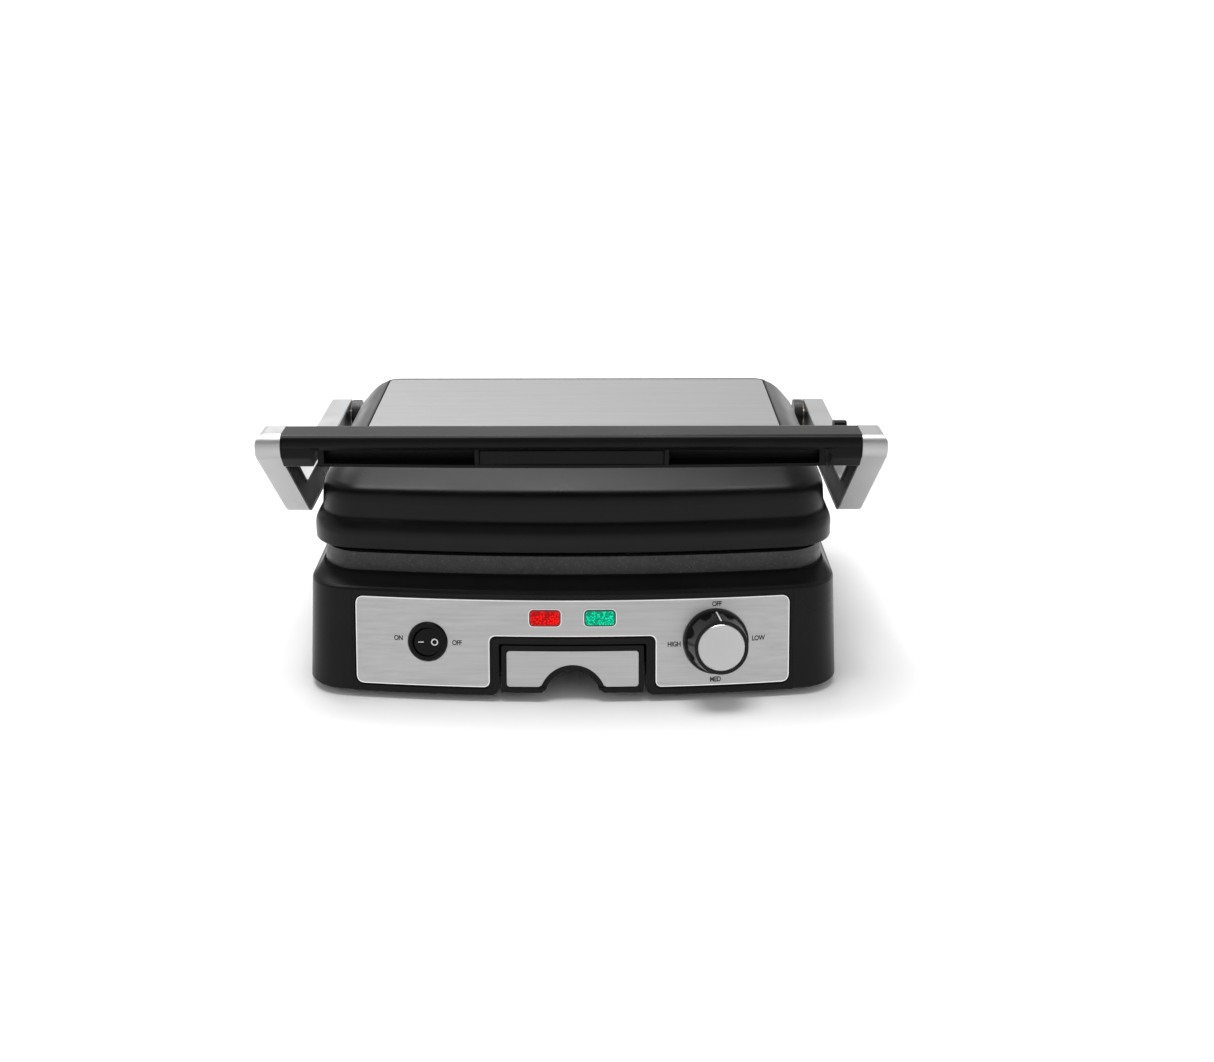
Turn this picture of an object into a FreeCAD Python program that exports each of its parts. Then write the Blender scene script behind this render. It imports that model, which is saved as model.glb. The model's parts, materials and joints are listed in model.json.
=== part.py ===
import FreeCAD, Part
import math
import os

# Panini press, millimetres. While it is being modelled, x runs to the right, y runs back from
# the middle of the base's lower front edge and z runs up from the table. export_all() then
# moves everything along y so that the origin is the centre of the footprint box on the table.

# ---------------------------------------------------------------- driving dimensions
FOOT_H = 4.0                    # the base casing stands this far above the table
BOW_R = 900.0                   # plan radius of the bowed front of base, plates and lid

BASE_HALF_BOTTOM = 151.7        # half width of the base at its lower edge
BASE_HALF_TOP = 150.0           # half width of the base at its shoulder
BASE_REAR = 288.0               # lower rear edge of the base
BASE_H = 57.0                   # lower edge to shoulder
FRONT_LEAN = 13.5               # how far the front leans back over BASE_H
DECK_RISE = 3.0                 # the deck rises this much from the shoulder to the plate
DECK_FRONT = 32.0               # where the flat part of the deck starts
BASE_CORNER = 25.0
WALL = 2.6                      # casing wall

PLATE_HALF = 145.3              # grill plates
PLATE_FRONT = 33.5
PLATE_REAR = 258.0
PLATE_CORNER = 26.0
RIB_PITCH = 11.6
RIB_COUNT = 22
RIB_W = 3.6

FLANGE_HALF = 151.0             # lower flange of the lid
FLANGE_FRONT = 35.0
LID_HALF = 147.0                # upright wall of the lid
LID_FRONT = 41.5
LID_REAR = 264.0
LID_CORNER = 30.0
LID_PLATE_HALF = 125.0          # brushed steel plate on top of the lid
LID_PLATE_FRONT = 95.0
LID_PLATE_REAR = 236.5

ARM_IN = 159.5                  # inner face of the side arms
ARM_OUT = 173.5                 # outer face of the side arms
ARM_SKIN = 1.6                  # metal arm shell
HANDLE_FRONT = 24.3             # front and rear of the handle's section
HANDLE_BACK = 52.3
HINGE_Y = 280.0                 # main hinge axis, along x
PIVOT_Y = 195.0                 # lid's floating pivot, along x
FLOAT_TRAVEL = 6.0              # lift of the lid's pivots in the arms' slots

PANEL_HALF = 122.3              # brushed control panel
FASCIA_HALF = 124.5             # black fascia that carries it
TRAY_HALF = 40.0                # drip tray front
BAY_HALF = 41.4                 # opening for it
KNOB_X = 80.5
SWITCH_X = -81.5
ROCKER_TILT = 8.0               # degrees that the rocker stands off square with OFF pressed
ROCKER_PIVOT = 2.0              # depth of the rocker's pivot behind the panel
LAMP_X = 15.4
PIN_R = 4.0                     # hinge pins and pivot pins
EAR_IN, EAR_OUT = 152.4, 158.4   # faces of the hinge brackets' ears
BRACKET_SCREWS = (114, 126)      # x of the screws in each bracket's foot
BOSS_X = 118.0                  # screw bosses on the backs of the plates
FOOT_X, FOOT_ROWS = 118.0, (38, 256)            # rubber feet
POST_X, POST_ROWS = 143.5, (62, 246)            # screw posts inside the base
GLAND_X = 100.0                 # cord gland in the rear wall
KNOB_FACE = 18.9                # seat of the knob's cap above the panel
PAN_WALL = 0.8                  # sheet of the reflector pans
LEVER_HALF = 3.9                # half thickness of the release lever
RUN_FIT = 0.06                  # radial clearance of a running fit

# ---------------------------------------------------------------- levels worked out from them
SHOULDER_Z = FOOT_H + BASE_H
DECK_Z = SHOULDER_Z + DECK_RISE
PLATE_RIM_Z = DECK_Z + 10.5     # lower plate's rim
FLANGE_Z = FOOT_H + 72.0        # underside of the lid's flange
LID_WALL_Z = FLANGE_Z + 15.5    # where the flange's shoulder meets the upright wall
LID_CREST_Z = FOOT_H + 106.6
LID_TOP_Z = FOOT_H + 121.6
ARM_BOTTOM_Z = FOOT_H + 73.5
ARM_TOP_Z = FOOT_H + 95.5
HINGE_Z = (ARM_BOTTOM_Z + ARM_TOP_Z) / 2
PIVOT_Z = ARM_BOTTOM_Z + 8.0
HANDLE_TOP_Z = FOOT_H + 144.4
HANDLE_LOW_Z = FOOT_H + 125.2   # underside of the handle's end blocks
GRIP_LOW_Z = FOOT_H + 125.4     # underside of the lower moulding between them
GRIP_SPLIT_Z = FOOT_H + 136.0   # lower edge of the handle's front moulding
ARM_KINK_Z = FOOT_H + 133.0     # where the arm leaves the handle and runs down and back
ARM_SLOPE = math.radians(37.4)
ARM_LIMB = 15.0                 # thickness of the arm's sloping limb
LOWER_PAN_Z = DECK_Z - 13.5      # undersides of the reflector pans
UPPER_PAN_Z = FLANGE_Z + 19.5
GLAND_Z = FOOT_H + 24.0
DIAL_Z = FOOT_H + 28.7          # centre height of the switch and the knob
LAMP_Z = FOOT_H + 43.0
LEVER_X = 166.5
LEVER_Y = 156.0
LEVER_HUB_Z = ARM_BOTTOM_Z + 10

V = FreeCAD.Vector
X_AXIS, Y_AXIS = V(1, 0, 0), V(0, 1, 0)
SIDES = {"left": -1, "right": 1}


# ---------------------------------------------------------------- shape helpers
def box(x0, x1, y0, y1, z0, z1):
    """An upright block between two corners."""
    return Part.makeBox(x1 - x0, y1 - y0, z1 - z0, V(x0, y0, z0))


def rod(radius, start, end):
    """A round bar from start to end."""
    return Part.makeCylinder(radius, (end - start).Length, start, end - start)


def tube(outer, inner, start, end):
    return rod(outer, start, end).cut(rod(inner, start, end))


def fuse(shapes):
    """One clean solid from touching or overlapping shapes."""
    return shapes[0].multiFuse(shapes[1:]).removeSplitter()


def mirror_x(shape):
    return shape.mirror(V(0, 0, 0), X_AXIS)


def rounded_wire(corners, place):
    """Closed wire through (a, b, radius) corners; place(a, b) gives the 3D point."""
    edges, count, ends = [], len(corners), []
    for i, (a, b, radius) in enumerate(corners):
        here = V(a, b, 0)
        back = V(*corners[i - 1][:2], 0) - here
        ahead = V(*corners[(i + 1) % count][:2], 0) - here
        back.normalize()
        ahead.normalize()
        half = back.getAngle(ahead) / 2
        reach = radius / math.tan(half) if radius else 0.0
        middle = back + ahead
        middle.normalize()
        peak = here + middle * (radius / math.sin(half) - radius)
        ends.append((here + back * reach, peak, here + ahead * reach, radius))
    for i, (start, peak, end, radius) in enumerate(ends):
        if radius:
            arc = [place(p.x, p.y) for p in (start, peak, end)]
            edges.append(Part.Arc(*arc).toShape())
        following = ends[(i + 1) % count][0]
        if (following - end).Length > 1e-6:
            edges.append(Part.makeLine(place(end.x, end.y), place(following.x, following.y)))
    return Part.Wire(edges)


def prism_x(corners, x0, x1):
    """Side profile of (y, z, radius) corners, extruded from x0 to x1."""
    wire = rounded_wire(corners, lambda y, z: V(x0, y, z))
    return Part.Face(wire).extrude(V(x1 - x0, 0, 0))


def prism_y(corners, y0, y1):
    """Front outline of (x, z, radius) corners, extruded from y0 to y1."""
    wire = rounded_wire(corners, lambda x, z: V(x, y0, z))
    return Part.Face(wire).extrude(V(0, y1 - y0, 0))


def prism_z(corners, z0, z1):
    """Plan outline of (x, y, radius) corners, extruded from z0 to z1."""
    wire = rounded_wire(corners, lambda x, y: V(x, y, z0))
    return Part.Face(wire).extrude(V(0, 0, z1 - z0))


def rectangle(x0, x1, z0, z1, radius):
    return [(x0, z0, radius), (x1, z0, radius), (x1, z1, radius), (x0, z1, radius)]


def plan_wire(z, front, half, rear, corner):
    """Plan outline with a bowed front, straight sides and rounded corners."""
    bow_centre = front + BOW_R
    cx = half - corner
    cy = bow_centre - math.sqrt((BOW_R - corner) ** 2 - cx ** 2)
    lean = math.atan2(cy - bow_centre, cx)

    def on_corner(centre_x, centre_y, angle, side):
        return V(side * (centre_x + corner * math.cos(angle)), centre_y + corner * math.sin(angle), z)

    def corner_arc(centre_y, start, end, side):
        angles = (start, (start + end) / 2, end)
        return Part.Arc(*[on_corner(cx, centre_y, angle, side) for angle in angles]).toShape()

    rear_y = rear - corner
    right, left = 1, -1
    edges = [
        Part.Arc(on_corner(cx, cy, lean, left), V(0, front, z), on_corner(cx, cy, lean, right)).toShape(),
        corner_arc(cy, lean, 0, right),
        Part.makeLine(V(half, cy, z), V(half, rear_y, z)),
        corner_arc(rear_y, 0, math.pi / 2, right),
        Part.makeLine(V(cx, rear, z), V(-cx, rear, z)),
        corner_arc(rear_y, math.pi / 2, 0, left),
        Part.makeLine(V(-half, rear_y, z), V(-half, cy, z)),
        corner_arc(cy, 0, lean, left),
    ]
    return Part.Wire(edges)


def plan_loft(levels):
    """Solid through plan outlines given as (z, front, half, rear, corner)."""
    return Part.makeLoft([plan_wire(*level) for level in levels], True, True)


def plan_slab(z0, z1, front, half, rear, corner):
    """Upright slab with a bowed front."""
    return Part.Face(plan_wire(z0, front, half, rear, corner)).extrude(V(0, 0, z1 - z0))


# ---------------------------------------------------------------- the leaning, bowed front
def front_y(x, z):
    """y of the base's front surface."""
    bow = BOW_R - math.sqrt(BOW_R ** 2 - x ** 2)
    return (z - FOOT_H) / BASE_H * FRONT_LEAN + bow


def front_block(inset):
    """The base's walls without the deck, moved inwards by inset."""
    corner = BASE_CORNER - inset
    return plan_loft([
        (FOOT_H, inset, BASE_HALF_BOTTOM - inset, BASE_REAR - inset, corner),
        (SHOULDER_Z, FRONT_LEAN + inset, BASE_HALF_TOP - inset, BASE_REAR - 3 - inset, corner),
    ])


def front_layer(outer, inner, outline):
    """Part of the front wall between two depths, inside an (x, z, radius) outline."""
    reach = prism_y(outline, -20, 60)
    return front_block(outer).common(reach).cut(front_block(inner))


def on_front(shape, x, z):
    """Seat a shape modelled with z outwards and y up on the base's front surface."""
    lean = math.atan2(FRONT_LEAN, BASE_H)
    turn = math.asin(x / BOW_R)
    across = V(math.cos(turn), math.sin(turn), 0)
    up = V(0, math.sin(lean), math.cos(lean))
    outwards = across.cross(up)
    outwards.normalize()
    up = outwards.cross(across)
    seat = FreeCAD.Placement(V(x, front_y(x, z), z), FreeCAD.Rotation(across, up, outwards, "ZXY"))
    seated = shape.copy()
    seated.Placement = seat.multiply(shape.Placement)
    return seated


# ---------------------------------------------------------------- base casing
def base_housing():
    edge = 0.7
    outer = plan_loft([
        (FOOT_H, edge, BASE_HALF_BOTTOM - edge, BASE_REAR - edge, BASE_CORNER - edge),
        (FOOT_H + edge, edge * FRONT_LEAN / BASE_H, BASE_HALF_BOTTOM, BASE_REAR, BASE_CORNER),
        (SHOULDER_Z - 1.3, FRONT_LEAN * (1 - 1.3 / BASE_H), BASE_HALF_TOP, BASE_REAR - 3, BASE_CORNER),
        (SHOULDER_Z - 0.2, FRONT_LEAN + 0.5, BASE_HALF_TOP - 0.5, BASE_REAR - 3.5, BASE_CORNER - 0.5),
        (SHOULDER_Z + 0.3, FRONT_LEAN + 2.0, BASE_HALF_TOP - 1.4, BASE_REAR - 4.5, BASE_CORNER - 1),
        (DECK_Z, DECK_FRONT, BASE_HALF_TOP - 4, BASE_REAR - 7, BASE_CORNER - 3),
    ])
    corner = BASE_CORNER - WALL
    inner = plan_loft([
        (FOOT_H - 1, WALL, BASE_HALF_BOTTOM - WALL, BASE_REAR - WALL, corner),
        (SHOULDER_Z - 2.0, FRONT_LEAN + WALL, BASE_HALF_TOP - WALL, BASE_REAR - 3 - WALL, corner),
        (DECK_Z - WALL, DECK_FRONT + 2, BASE_HALF_TOP - 6, BASE_REAR - 9, BASE_CORNER - 5),
    ])
    shell = outer.cut(inner)
    gap = 4.4                       # the plate's skirt drops into a well this much smaller than its rim
    well_rim = [PLATE_FRONT + gap, PLATE_HALF - gap, PLATE_REAR - gap, PLATE_CORNER - 4]
    well = plan_slab(DECK_Z - 12, DECK_Z + 5, *well_rim)
    window = box(-FASCIA_HALF, FASCIA_HALF, -5, 27, FOOT_H - 1, SHOULDER_Z - 1.2)
    gland_hole = rod(8.0, V(GLAND_X, BASE_REAR - 12, GLAND_Z), V(GLAND_X, BASE_REAR + 5, GLAND_Z))
    shell = shell.cut(well).cut(window).cut(gland_hole)
    for x, y in base_places(POST_X, POST_ROWS):
        post = rod(4.5, V(x, y, FOOT_H + 2.7), V(x, y, SHOULDER_Z - 1)).common(outer)
        shell = fuse([shell, post]).cut(rod(1.5, V(x, y, FOOT_H), V(x, y, FOOT_H + 18)))
    return shell


def base_places(x, rows):
    """Plan positions of what the base carries in mirrored pairs."""
    return [(s * x, y) for s in (-1, 1) for y in rows]


def bottom_cover():
    z0 = FOOT_H + 0.5
    low, high = z0 - 1, z0 + 3
    cover = plan_slab(z0, z0 + 2, WALL + 4.2, BASE_HALF_BOTTOM - 3, BASE_REAR - 3.2, BASE_CORNER - 3)
    cover = cover.cut(box(-BAY_HALF - 3, BAY_HALF + 3, -5, 47, low, high))
    for x, y in base_places(POST_X, POST_ROWS):
        cover = cover.cut(rod(2.0, V(x, y, low), V(x, y, high)))
    for x, y in base_places(FOOT_X, FOOT_ROWS):
        cover = cover.cut(rod(3.0, V(x, y, low), V(x, y, high)))
    for x, y in base_places(95, [100 + 14 * row for row in range(7)]):
        cover = cover.cut(prism_z(rectangle(x - 22, x + 22, y, y + 4, 1.9), low, high))
    return cover


def feet():
    """Rubber feet pressed into the bottom cover."""
    solids = []
    for x, y in base_places(FOOT_X, FOOT_ROWS):
        pad = Part.makeCone(9.5, 11, FOOT_H + 0.5, V(x, y, 0))
        stem = rod(2.95, V(x, y, FOOT_H), V(x, y, FOOT_H + 4.5))
        bead = Part.makeCone(4.0, 2.95, 2.0, V(x, y, FOOT_H + 2.6))
        solids.append(fuse([pad, stem, bead]))
    return Part.makeCompound(solids)


def bottom_screws():
    solids = []
    for x, y in base_places(POST_X, POST_ROWS):
        head = rod(3.2, V(x, y, FOOT_H - 1.3), V(x, y, FOOT_H + 0.45))
        shank = rod(1.45, V(x, y, FOOT_H + 0.4), V(x, y, FOOT_H + 14))
        solids.append(fuse([head, shank]).cut(cross_slot(V(x, y, FOOT_H - 1.4))))
    return Part.makeCompound(solids)


def cross_slot(at):
    """Cross recess cut upwards into a screw head."""
    across = Part.makeBox(3.4, 0.8, 1.1, at - V(1.7, 0.4, 0))
    along = Part.makeBox(0.8, 3.4, 1.1, at - V(0.4, 1.7, 0))
    return fuse([across, along])


# ---------------------------------------------------------------- control front
def panel_outline(grow):
    """Control panel outline with the notch over the drip tray, grown by grow."""
    bottom, top = FOOT_H + 4.2 - grow, FOOT_H + 52.6 + grow
    notch, notch_top = 46.6 - grow, FOOT_H + 32.6 - grow
    outer, tight = 4.5 + grow, 3.6
    return [
        (-PANEL_HALF - grow, bottom, outer), (-notch, bottom, tight), (-notch, notch_top, tight),
        (notch, notch_top, tight), (notch, bottom, tight), (PANEL_HALF + grow, bottom, outer),
        (PANEL_HALF + grow, top, outer), (-PANEL_HALF - grow, top, outer),
    ]


def panel_holes():
    """Through holes for the switch, the lamps and the knob's shaft."""
    switch = on_front(rod(9.9, V(0, 0, -12), V(0, 0, 8)), SWITCH_X, DIAL_Z)
    shaft = on_front(rod(4.6, V(0, 0, -12), V(0, 0, 8)), KNOB_X, DIAL_Z)
    lamps = [on_front(lens_block(-12, 8, -0.9), s * LAMP_X, LAMP_Z) for s in (-1, 1)]
    return [switch, shaft] + lamps


def lens_block(z0, z1, grow):
    """Rounded block of an indicator lens in the front's own frame."""
    half_w, half_h = 8.8 + grow, 4.6 + grow
    return prism_z(rectangle(-half_w, half_w, -half_h, half_h, 2.4 + grow), z0, z1)


def control_fascia():
    low, high = FOOT_H, SHOULDER_Z - 1.3
    bay_top = FOOT_H + 28.4
    half = FASCIA_HALF - 0.12
    outline = [
        (-half, low, 0), (-BAY_HALF, low, 4.5), (-BAY_HALF, bay_top, 0.8), (BAY_HALF, bay_top, 0.8),
        (BAY_HALF, low, 4.5), (half, low, 0), (half, high, 0), (-half, high, 0),
    ]
    fascia = front_layer(0, 3.2, outline)
    fascia = fascia.cut(front_layer(-1, 1.25, panel_outline(0.9)))
    for hole in panel_holes():
        fascia = fascia.cut(hole)
    return fascia


def control_panel():
    panel = front_layer(0.25, 1.2, panel_outline(0))
    for hole in panel_holes():
        panel = panel.cut(hole)
    return panel


def indicator_lens(side):
    """Proud lens with a flange-less body that fills its hole."""
    face = lens_block(-0.2, 1.1, 0)
    face = face.makeFillet(0.7, [e for e in face.Edges if e.BoundBox.ZMin > 1.05])
    body = lens_block(-7, -0.2, -1.0)
    return on_front(fuse([face, body]), side * LAMP_X, LAMP_Z)


def neon_lamps():
    """The two small glow lamps behind the lenses."""
    solids = []
    for s in (-1, 1):
        bulb = fuse([rod(2.6, V(0, 0, -18), V(0, 0, -10.6)), Part.makeSphere(2.6, V(0, 0, -10.6))])
        solids.append(on_front(bulb, s * LAMP_X, LAMP_Z))
    return Part.makeCompound(solids)


def switch_body():
    """Round rocker switch: bezel in front of the panel, barrel and terminals behind it."""
    bezel = Part.makeCone(11.4, 10.5, 1.9)
    barrel = rod(9.75, V(0, 0, -16), V(0, 0, 0.2))
    body = fuse([bezel, barrel]).cut(rod(8.3, V(0, 0, -7.5), V(0, 0, 3)))
    blades = [box(s * 5 - 0.4, s * 5 + 0.4, -2.4, 2.4, -23, -15.9) for s in (-1, 1)]
    return on_front(fuse([body] + blades), SWITCH_X, DIAL_Z)


def rocker_button():
    """Rocker disc with its two dished halves; OFF, on the right, is pressed in."""
    disc = rod(7.6, V(0, 0, -4.5), V(0, 0, 2.2))
    dish = Part.makeCylinder(26, 40, V(0, -20, 26.9), Y_AXIS)
    trunnion = rod(1.2, V(0, -8.1, -ROCKER_PIVOT), V(0, 8.1, -ROCKER_PIVOT))
    button = fuse([disc.cut(dish), trunnion])
    button.rotate(V(0, 0, -ROCKER_PIVOT), Y_AXIS, ROCKER_TILT)
    return on_front(button, SWITCH_X, DIAL_Z)


def knob():
    """Skirted dial with finger scallops and a seat for its cap."""
    rim = KNOB_FACE + 1.4
    skirt = Part.makeCone(18.7, 18.2, 2.2, V(0, 0, 0.7))
    grip = Part.makeCone(17.2, 15.0, rim - 2.9, V(0, 0, 2.9))
    body = fuse([skirt, grip])
    for step in range(8):
        angle = math.radians(22.5 + 45 * step)
        scallop = V(22.6 * math.cos(angle), 22.6 * math.sin(angle), 2.9)
        body = body.cut(Part.makeCylinder(7.0, KNOB_FACE - 5.7, scallop))
    body = body.cut(rod(13.3, V(0, 0, KNOB_FACE), V(0, 0, rim + 1)))
    body = body.cut(rod(3.0 + RUN_FIT, V(0, 0, 0), V(0, 0, KNOB_FACE - 3.9)))
    body = body.cut(rod(14.0, V(0, 0, 0), V(0, 0, 2.2)))
    hub = tube(6.0, 3.0 + RUN_FIT, V(0, 0, 0.9), V(0, 0, 2.4))
    return on_front(fuse([body, hub]), KNOB_X, DIAL_Z)


def knob_cap():
    top = KNOB_FACE + 1.7
    cap = rod(13.1, V(0, 0, KNOB_FACE), V(0, 0, top))
    cap = cap.makeChamfer(0.5, [e for e in cap.Edges if e.BoundBox.ZMin > top - 0.1])
    return on_front(cap, KNOB_X, DIAL_Z)


def thermostat_shaft():
    return on_front(rod(3.0, V(0, 0, -11.9), V(0, 0, KNOB_FACE - 4.1)), KNOB_X, DIAL_Z)


def thermostat_body():
    """Bimetal thermostat on its bracket, with the collar that the shaft turns in."""
    collar = tube(4.5, 3.0 + RUN_FIT, V(0, 0, -12), V(0, 0, -3.3))
    block = prism_z(rectangle(-15, 15, -9, 9, 2), -26, -12)
    blades = [box(s * 9 - 2.4, s * 9 + 2.4, -9.3, -8.7, -33, -25.9) for s in (-1, 1)]
    return on_front(fuse([collar, block] + blades), KNOB_X, DIAL_Z)


# ---------------------------------------------------------------- drip tray
ARCH_Z = FOOT_H - 2.2           # centre height of the finger notch's arc


def arch(radius, low, flare):
    """Half-round finger notch with its lower corners flared out."""
    hole = rod(radius, V(0, -20, ARCH_Z), V(0, 27.9, ARCH_Z))
    reach = math.sqrt(radius ** 2 - (low - ARCH_Z) ** 2)
    wide = reach + flare
    mouth = prism_y([(-wide, low - 3, 0), (wide, low - 3, 0), (wide, low, 0), (reach - 1, low + flare, 1.5),
                     (1 - reach, low + flare, 1.5), (-wide, low, 0)], -20, 27.9)
    return fuse([hole, mouth])


def drip_tray():
    """Front frame, two cheeks and the grease box behind the finger space."""
    low, high = FOOT_H + 1.5, FOOT_H + 27.5
    front = front_layer(0, 4.2, rectangle(-TRAY_HALF, TRAY_HALF, low, high, 1.4))
    frame = TRAY_HALF - 2.6
    front = front.cut(front_layer(-1, 1.0, rectangle(-frame, frame, low + 2.9, high - 2.6, 2.0)))
    grease_box = box(-37, 37, 28, 172, low + 3, high - 3.5)
    grease_box = grease_box.cut(box(-35, 35, 30, 170, low + 5, high))
    cheeks = [box(s * 36 - 1, s * 36 + 1, 0, 28.5, low + 5, high - 3.5) for s in (-1, 1)]
    lip = box(-37, 37, 0, 30, high - 5.5, high - 3.5)
    stays = fuse(cheeks + [lip]).common(front_block(2.0))
    runners = [box(s * 38 - 1.2, s * 38 + 1.2, 28, 172, high - 6.5, high - 3.5) for s in (-1, 1)]
    tray = fuse([front, grease_box, stays] + runners)
    return tray.cut(arch(16.0, low, 2.2))


def tray_front_plate():
    """Brushed insert on the tray's front."""
    low, high = FOOT_H + 1.5, FOOT_H + 27.5
    plate = front_layer(0.2, 0.9, rectangle(-TRAY_HALF + 3.0, TRAY_HALF - 3.0, low + 3.3, high - 3.0, 1.7))
    cut = arch(19.2, low + 3.3, 1.2)
    return plate.cut(cut)


def tray_rails():
    """Two guides that the tray's runners slide on."""
    solids = []
    for s in (-1, 1):
        wall = box(-1.5, 1.5, 22, 180, FOOT_H + 2.6, FOOT_H + 26)
        ledge = box(-3.2, -1.4, 26, 176, FOOT_H + 18.5, FOOT_H + 20.6)
        rail = fuse([wall, ledge])
        rail.translate(V(43.2, 0, 0))
        solids.append(rail if s > 0 else mirror_x(rail))
    return Part.makeCompound(solids)


# ---------------------------------------------------------------- cooking plates and heaters
def rib_positions():
    first = -RIB_PITCH * (RIB_COUNT - 1) / 2
    return [first + RIB_PITCH * i for i in range(RIB_COUNT)]


def lower_grill_plate():
    """Cast plate: rim, ribbed cooking face and a drain at the front."""
    floor_z = DECK_Z + 3.0
    body = plan_loft([
        (DECK_Z, PLATE_FRONT, PLATE_HALF, PLATE_REAR, PLATE_CORNER),
        (PLATE_RIM_Z, PLATE_FRONT + 0.8, PLATE_HALF - 0.8, PLATE_REAR - 0.8, PLATE_CORNER),
    ])
    hollow = plan_loft([
        (floor_z, PLATE_FRONT + 8, PLATE_HALF - 8, PLATE_REAR - 8, PLATE_CORNER - 6),
        (PLATE_RIM_Z + 1, PLATE_FRONT + 5, PLATE_HALF - 5, PLATE_REAR - 5, PLATE_CORNER - 4),
    ])
    body = body.cut(hollow)
    rear_relief = [(PLATE_REAR - 46, PLATE_RIM_Z, 0), (PLATE_REAR + 5, PLATE_RIM_Z - 3.0, 0),
                   (PLATE_REAR + 5, PLATE_RIM_Z + 5, 0), (PLATE_REAR - 46, PLATE_RIM_Z + 5, 0)]
    body = body.cut(prism_x(rear_relief, -200, 200))
    skirt = plan_slab(DECK_Z - 4, DECK_Z, PLATE_FRONT + 5.2, PLATE_HALF - 5, PLATE_REAR - 4.8, PLATE_CORNER - 5)
    inside = [PLATE_FRONT + 8, PLATE_HALF - 8, PLATE_REAR - 8, PLATE_CORNER - 8]
    skirt = skirt.cut(plan_slab(DECK_Z - 5, DECK_Z - 0.5, *inside))
    plate = fuse([body, skirt] + grill_ribs(floor_z - 0.5, floor_z + 3.8))
    drain_y = PLATE_FRONT + 13.5
    drain = rod(4.0, V(0, drain_y, DECK_Z - 6), V(0, drain_y, floor_z + 2))
    spout = tube(6.0, 4.0, V(0, drain_y, DECK_Z - 13), V(0, drain_y, DECK_Z - 0.2))
    plate = fuse([plate, spout] + plate_bosses(LOWER_PAN_Z + PAN_WALL, DECK_Z + 1)).cut(drain)
    for x, y in boss_places():
        plate = plate.cut(rod(1.5, V(x, y, LOWER_PAN_Z), V(x, y, LOWER_PAN_Z + 10)))
    return plate


def grill_ribs(z0, z1):
    """Tapered ribs from front to back, each from its root at z0 to its crest at z1."""
    half = RIB_W / 2
    ribs = []
    for x in rib_positions():
        corners = [(x - half, z0, 0), (x + half, z0, 0), (x + half - 0.8, z1, 0.6), (x - half + 0.8, z1, 0.6)]
        if z1 < z0:
            corners.reverse()
        ribs.append(prism_y(corners, PLATE_FRONT + 22, PLATE_REAR - 14))
    return ribs


def upper_grill_plate():
    """Cast plate inside the lid's flange, ribs down."""
    low = FLANGE_Z + 0.2
    face_z = low + 4.2
    front, half, corner = FLANGE_FRONT + 4.0, FLANGE_HALF - 4.0, LID_CORNER - 4.0
    body = plan_slab(low, low + 9.0, front, half, PLATE_REAR - 0.5, corner)
    hollow = plan_loft([
        (low - 1, front + 3.5, half - 3.5, PLATE_REAR - 4, corner - 3),
        (face_z, front + 6.5, half - 6.5, PLATE_REAR - 7, corner - 5),
    ])
    body = body.cut(hollow)
    ribs = grill_ribs(face_z + 0.5, FLANGE_Z - 0.4)
    plate = fuse([body] + ribs + plate_bosses(low + 8, UPPER_PAN_Z))
    for x, y in boss_places():
        plate = plate.cut(rod(1.5, V(x, y, UPPER_PAN_Z - 9), V(x, y, UPPER_PAN_Z + 1)))
    return plate


def heater_element(z, y0, y1, half, tails_y):
    """Bent tubular heater: one long loop round the plate with two cold tails."""
    radius, bend = 3.3, 24.0
    corners = [(-18, tails_y, 0), (-18, y1, bend * 0.4), (-half, y1, bend), (-half, y0, bend),
               (half, y0, bend), (half, y1, bend), (18, y1, bend * 0.4), (18, tails_y, 0)]
    path = open_rounded_wire(corners, z)
    start = path.Edges[0].Vertexes[0].Point
    profile = Part.Wire(Part.makeCircle(radius, start, Y_AXIS))
    return path.makePipeShell([profile], True, True)


def open_rounded_wire(corners, z):
    """Flat open path through (x, y, radius) corners."""
    edges = []
    at = V(corners[0][0], corners[0][1], z)
    for i in range(1, len(corners) - 1):
        here = V(corners[i][0], corners[i][1], z)
        back = V(corners[i - 1][0], corners[i - 1][1], z) - here
        ahead = V(corners[i + 1][0], corners[i + 1][1], z) - here
        back.normalize()
        ahead.normalize()
        half = back.getAngle(ahead) / 2
        radius = corners[i][2]
        reach = radius / math.tan(half)
        middle = back + ahead
        middle.normalize()
        start, end = here + back * reach, here + ahead * reach
        peak = here + middle * (radius / math.sin(half) - radius)
        edges.append(Part.makeLine(at, start))
        edges.append(Part.Arc(start, peak, end).toShape())
        at = end
    edges.append(Part.makeLine(at, V(corners[-1][0], corners[-1][1], z)))
    return Part.Wire(edges)


def lower_heater():
    return heater_element(DECK_Z - 3.9, PLATE_FRONT + 34, PLATE_REAR - 36, 108, 170)


def upper_heater():
    return heater_element(FLANGE_Z + 12.7, PLATE_FRONT + 34, PLATE_REAR - 36, 108, 170)


def reflector_pan(z, half):
    """Shallow sheet metal reflector with a turned-up edge."""
    front, rear = PLATE_FRONT + 24, PLATE_REAR - 16
    outer = plan_slab(z, z + 6.5, front, half, rear, 20)
    inner = plan_slab(z + PAN_WALL, z + 8, front + PAN_WALL, half - PAN_WALL, rear - PAN_WALL, 20 - PAN_WALL)
    pan = outer.cut(inner)
    for x, y in boss_places():
        pan = pan.cut(rod(1.9, V(x, y, z - 1), V(x, y, z + 2)))
    return pan


def lower_reflector():
    return reflector_pan(LOWER_PAN_Z, 128)


def upper_reflector():
    return reflector_pan(UPPER_PAN_Z, 124)


def boss_places():
    """Where a plate's bosses and screws stand."""
    return base_places(BOSS_X, (82, 224))


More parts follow.
